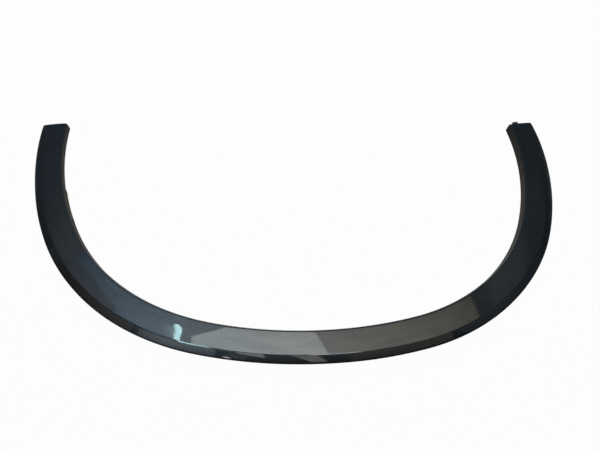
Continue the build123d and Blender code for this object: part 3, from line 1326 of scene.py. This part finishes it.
@dataclass
class Studio:
    """The pale floor, the soft lamps and the reflector cards that the clear coat mirrors."""

    ceiling: float = 2.0
    floor_size: float = 30.0
    card_steps: int = 24
    white: StudioWhite = field(default_factory=StudioWhite)
    glow: CardGlow = field(default_factory=CardGlow)

    sky: tuple[tuple[float, str], ...] = (
        (0.09, WHITE),
        (0.16, "#2a3035"),
        (0.45, "#2a3035"),
        (0.62, "#475056"),
        (0.80, "#666d72"),
    )
    left_gain: float = 1.15
    right_gain: float = 0.6
    side_reach: float = 0.6
    front_gain: float = 0.5
    front_reach: float = 0.5
    fill: float = 0.2

    lamp_distance: float = 2.4
    lamp_elevation: float = 28.0
    lamp_size: float = 1.0
    lamps: Row = ((13.0, 80.0), (-4.0, 84.0))

    cards: tuple[Card, ...] = (
        Card(
            "overhead_key", KEY_LEFT, KEY_RIGHT,
            (Stop(0.0, "#f6fffa", 4.75), Stop(1.0, "#fffffa", 4.75)), fade=0.88,
        ),
        Card(
            "warm_side", KEY_RIGHT, ((1.38, 0.10), (1.24, 0.43), (1.15, 0.66), (1.05, 0.90)),
            (Stop(0.0, "#fff9e6", 2.15), Stop(0.5, "#fff4de", 1.7), Stop(1.0, "#ffefd2", 0.9)), fade=0.78,
        ),
        Card(
            "warm_far", ((1.38, 0.10), (1.05, 0.90)), ((2.70, 1.00), (2.00, 1.90)),
            (
                Stop(0.0, "#fff6f0", 0.09), Stop(0.11, "#fff6f0", 0.09), Stop(0.14, "#fff6f4", 0.28),
                Stop(0.42, "#f8f4fa", 0.25), Stop(0.52, "#d0e8f4", 0.12),
            ),
        ),
        Card(
            "cool_side", KEY_LEFT, COOL_LEFT,
            (
                Stop(0.0, "#f8f6f4", 1.4), Stop(0.28, "#d0e8ff", 2.05), Stop(0.6, "#cbe4ff", 1.3),
                Stop(1.0, "#b9d6ff", 0.65),
            ), fade=0.9,
        ),
        Card(
            "grey_far", COOL_LEFT, ((-2.16, 1.47), (-1.86, 1.60), (-1.68, 1.69), (-1.46, 1.82)),
            (Stop(0.0, "#f8f8fa", 0.33), Stop(1.0, "#f0f4fa", 0.12)),
        ),
        Card(
            "grey_flag",
            ((-1.47, 1.03), (-1.27, 0.93), (-1.24, 0.72), (-1.15, 0.55)),
            ((-1.77, 0.88), (-1.60, 0.75), (-1.42, 0.53), (-1.20, 0.38)),
            (Stop(0.0, "#e6f0ff", 0.33), Stop(1.0, "#f2f4ff", 0.28)), fade=2.3, drop=0.02,
        ),
        Card(
            "cool_seam",
            ((-1.12, 0.93), (-1.00, 0.78), (-0.90, 0.59), (-0.79, 0.57), (-0.66, 0.68)),
            ((-1.09, 0.99), (-0.94, 0.84), (-0.86, 0.70), (-0.77, 0.66), (-0.63, 0.75)),
            (Stop(0.0, "#cfe6ff", 1.5), Stop(1.0, "#d2e8ff", 1.6)), drop=0.01,
        ),
        Card(
            "window_strip",
            ((-0.688, 0.53), (-0.694, 0.46), (-0.704, 0.38), (-0.730, 0.29), (-0.750, 0.18)),
            ((-0.652, 0.55), (-0.640, 0.48), (-0.650, 0.40), (-0.675, 0.30), (-0.700, 0.18)),
            (Stop(0.0, "#cbf9ff", 9.0), Stop(0.3, "#cbf9ff", 17.0), Stop(1.0, "#cbf9ff", 18.0)), drop=0.02,
        ),
        Card(
            "window_haze", ((-0.780, 0.50), (-0.800, 0.28)), ((-0.683, 0.48), (-0.724, 0.28)),
            (Stop(0.0, "#dcefff", 1.9), Stop(1.0, "#d4f2ff", 4.0)), drop=0.01,
        ),
        Card(
            "window_foot", ((-0.79, -0.02), (-0.88, -0.36)), ((-0.54, -0.02), (-0.59, -0.36)),
            (Stop(0.0, "#cbf9ff", 26.0), Stop(1.0, "#cbf9ff", 9.0)),
        ),
        Card(
            "key_foot", ((0.10, -0.03), (0.12, -0.35)), ((0.42, -0.03), (0.46, -0.35)),
            (Stop(0.0, "#ffffff", 8.0), Stop(1.0, "#ffffff", 8.0)),
        ),
        Card(
            "brown_front", ((-2.90, 0.92), (-4.60, 0.85)), ((-1.40, -0.29), (-1.93, -0.93)),
            (
                Stop(0.0, "#d8ecff", 0.22), Stop(0.3, "#ffe0c0", 0.09), Stop(0.6, "#ffd8a8", 0.18),
                Stop(1.0, "#fff0e0", 0.42),
            ),
        ),
        Card(
            "cool_front", ((-1.33, -0.33), (-1.83, -0.98)), ((-0.60, -0.56), (-0.79, -1.28)),
            (Stop(0.0, "#eef6ff", 1.0), Stop(0.35, "#eef6ff", 1.7), Stop(1.0, "#eef6ff", 1.2)), fade=0.7,
        ),
        Card(
            "front_streak", ((-0.44, -0.55), (-0.46, -0.70)), ((-0.24, -0.57), (-0.26, -0.92)),
            (Stop(0.0, "#f6f6f2", 3.0), Stop(1.0, "#f6f6f2", 2.4)),
        ),
        Card(
            "front_glow", ((-0.58, -0.82), (-0.62, -1.22)), ((-0.40, -0.88), (-0.48, -1.22)),
            (Stop(0.0, "#fff8f0", 0.5), Stop(1.0, "#fff8f0", 0.55)),
        ),
        Card(
            "front_spark", ((-0.675, -1.12), (-0.69, -1.30)), ((-0.615, -1.12), (-0.63, -1.30)),
            (Stop(0.0, "#ffffff", 8.0), Stop(1.0, "#ffffff", 8.0)),
        ),
        Card(
            "small_front", ((-0.045, -0.60), (0.125, -1.24)), ((0.150, -0.60), (0.255, -1.24)),
            (Stop(0.0, "#fffdf5", 1.8), Stop(1.0, "#fffdf5", 1.6)),
        ),
        Card(
            "warm_front", ((0.20, -0.60), (0.29, -1.36)), ((1.30, -0.42), (1.72, -1.14)),
            (
                Stop(0.0, "#fff1d8", 0.01), Stop(0.11, "#fff1d8", 0.01), Stop(0.15, "#fff1d8", 0.31),
                Stop(1.0, "#fff1d8", 0.42),
            ), fade=0.8,
        ),
        Card(
            "low_back", ((-0.50, 3.00), (-0.95, 7.00)), ((0.42, 3.00), (0.80, 7.00)),
            (Stop(0.0, "#d4e8ff", 0.6), Stop(0.5, "#fafffc", 3.2), Stop(1.0, "#fff6e8", 0.4)),
        ),
        Card(
            "cool_right",
            ((1.40, -0.42), (1.66, -0.72), (2.00, -1.05)), ((3.20, 1.00), (4.40, 0.60), (6.00, 0.50)),
            (
                Stop(0.0, "#e4ecf8", 0.25), Stop(0.25, "#dce8f8", 0.26), Stop(0.55, "#d4e4f8", 0.15),
                Stop(1.0, "#d4e4f8", 0.11),
            ),
        ),
    )

    def build(self) -> list[Object]:
        """Sets up the floor, the cards, the lamps and the surroundings.

        Returns:
            The floor and the cards, which aren't part of the trim.
        """
        half = self.floor_size / 2
        corners = [(-half, -half, 0), (half, -half, 0), (half, half, 0), (-half, half, 0)]
        floor = bpy.data.meshes.new("floor")
        floor.from_pydata(corners, [], [(0, 1, 2, 3)])
        floor.materials.append(self.white.material())
        glow = self.glow.material()
        stage = [piece("floor", floor)] + [self.card(card, glow) for card in self.cards]
        for heading, watts in self.lamps:
            self.lamp(heading, watts)
        self.surroundings()
        return stage

    def card(self, card: Card, glow: Material) -> Object:
        """Hangs one reflector card under the ceiling, to be seen in gloss alone.

        Args:
            card: The card's edges and brightness.
            glow: The cards' material.

        Returns:
            The card.
        """
        verts, faces, light = [], [], []
        rows = len(card.near)
        for i in range(self.card_steps + 1):
            share = i / self.card_steps
            level = self.brightness(card.stops, share)
            for row, (a, b) in enumerate(zip(card.near, card.far)):
                x, y = between(a, b, share)
                fade = 1 + (card.fade - 1) * row / (rows - 1)
                verts.append((x, y, self.ceiling - card.drop))
                light.append(tuple(c * fade for c in level))
        for i in range(self.card_steps):
            for base in range(rows * i, rows * (i + 1) - 1):
                faces.append((base, base + 1, base + rows + 1, base + rows))
        mesh = bpy.data.meshes.new(card.name)
        mesh.from_pydata(verts, [], faces)
        store = mesh.color_attributes.new(self.glow.attribute, "FLOAT_COLOR", "POINT")
        for entry, (red, green, blue) in zip(store.data, light):
            entry.color = (red, green, blue, 1.0)
        mesh.materials.append(glow)
        hung = piece(card.name, mesh)
        hung.visible_diffuse = False
        return hung

    @staticmethod
    def brightness(stops: tuple[Stop, ...], share: float) -> tuple[float, float, float]:
        """Works out the light of a card between two of its stops.

        Args:
            stops: The card's stops, in order.
            share: The share of the way across the card.

        Returns:
            The light as red, green and blue.
        """
        for first, second in zip(stops, stops[1:]):
            if share <= second.share:
                t = (share - first.share) / (second.share - first.share)
                return tuple(a + (b - a) * t for a, b in zip(first.light(), second.light()))
        return stops[-1].light()

    def lamp(self, heading: float, watts: float) -> None:
        """Hangs one softbox behind the trim, aimed at its middle, with no image of it in mirrors.

        Args:
            heading: The compass direction of the lamp from +Y towards +X.
            watts: The lamp's power.
        """
        turn, rise = math.radians(heading), math.radians(self.lamp_elevation)
        away = Vector((math.sin(turn) * math.cos(rise), math.cos(turn) * math.cos(rise), math.sin(rise)))
        data = bpy.data.lights.new(f"softbox_{heading:+.0f}", "AREA")
        data.shape = "SQUARE"
        data.size = self.lamp_size
        data.energy = watts
        lamp = piece(data.name, data)
        lamp.location = away * self.lamp_distance
        lamp.visible_glossy = False
        lamp.rotation_euler = away.to_track_quat("Z", "Y").to_euler()

    def surroundings(self) -> None:
        """Sets the world: white to the lens, and in mirrors a white horizon under a dim ceiling.

        The ceiling is brighter on the left and to the back, and lights matt surfaces only a little.
        """
        world = bpy.data.worlds.new("studio")
        world.use_nodes = True
        bpy.context.scene.world = world
        tree = world.node_tree
        way = add(tree, "ShaderNodeTexCoord").outputs["Generated"]
        x, y, z = add(tree, "ShaderNodeSeparateXYZ", {0: way}).outputs
        ramp = add(tree, "ShaderNodeValToRGB", {0: z})
        bands = ramp.color_ramp.elements
        while len(bands) < len(self.sky):
            bands.new(1.0)
        for band, (height, shade) in zip(bands, self.sky):
            band.position = height
            band.color = linear(shade)
        sides = {"From Min": -self.side_reach, "From Max": self.side_reach}
        sides |= {"To Min": self.left_gain, "To Max": self.right_gain}
        side = add(tree, "ShaderNodeMapRange", {"Value": x} | sides).outputs[0]
        depth = {"From Min": -self.front_reach, "From Max": 0.0, "To Min": self.front_gain, "To Max": 1.0}
        front = add(tree, "ShaderNodeMapRange", {"Value": y} | depth).outputs[0]
        gain = add(tree, "ShaderNodeMath", {0: side, 1: front}, operation="MULTIPLY").outputs[0]
        low, high = (height for height, _ in self.sky[:2])
        above = add(tree, "ShaderNodeMapRange", {"Value": z, "From Min": low, "From Max": high}).outputs[0]
        level = add(tree, "ShaderNodeMix", {0: above, 2: 1.0, 3: gain}).outputs[0]
        fill = add(tree, "ShaderNodeMix", {0: seen(tree), 2: self.fill, 3: 1.0}).outputs[0]
        light = add(tree, "ShaderNodeMath", {0: level, 1: fill}, operation="MULTIPLY").outputs[0]
        lens = add(tree, "ShaderNodeLightPath").outputs["Is Camera Ray"]
        shades = {0: lens, 6: ramp.outputs["Color"], 7: linear(WHITE)}
        shade = add(tree, "ShaderNodeMix", shades, data_type="RGBA").outputs[2]
        strength = add(tree, "ShaderNodeMix", {0: lens, 2: light, 3: 1.0}).outputs[0]
        feed(tree, tree.nodes["Background"], {"Color": shade, "Strength": strength})


@dataclass(frozen=True)
class PhotoCamera:
    """The camera at the photo's viewing angle, from a fit to the trim's outline."""

    focal_pixels: float = 485.0
    image_width: float = 600.0
    sensor: float = 36.0
    elevation: float = 55.099
    yaw: float = -3.189
    roll: float = 1.621
    target: tuple[float, float, float] = (9.469, 4.898, -2.5)
    distance: float = 752.062

    def build(self) -> None:
        """Makes the camera and gives it to the scene."""
        lift, yaw, roll = (math.radians(a) for a in (self.elevation, self.yaw, self.roll))
        back = Vector((math.sin(yaw) * math.cos(lift), -math.cos(yaw) * math.cos(lift), math.sin(lift)))
        right = Vector((math.cos(yaw), math.sin(yaw), 0.0))
        up = back.cross(right)
        level = right * math.cos(roll) + up * math.sin(roll)
        upright = up * math.cos(roll) - right * math.sin(roll)
        data = bpy.data.cameras.new("photo_camera")
        data.sensor_fit = "HORIZONTAL"
        data.sensor_width = self.sensor
        data.lens = self.sensor * self.focal_pixels / self.image_width
        data.clip_start = 0.01
        data.clip_end = 100.0
        camera = piece(data.name, data)
        turn = Matrix((level, upright, back)).transposed()
        place = (Vector(self.target) + back * self.distance) * MM
        camera.matrix_world = Matrix.Translation(place) @ turn.to_4x4()
        bpy.context.scene.camera = camera


def main() -> None:
    """Builds the trim, the studio and the camera."""
    bpy.context.scene.view_settings.view_transform = "Standard"
    trim = ArchMoulding().build()
    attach(trim, BODY)
    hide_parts(NODE)
    LOG.info("%s: %d faces", trim.name, len(trim.data.polygons))
    stage = Studio().build()
    LOG.info("stage: %s", ", ".join(obj.name for obj in stage))
    PhotoCamera().build()


if __name__ == "__main__":
    main()
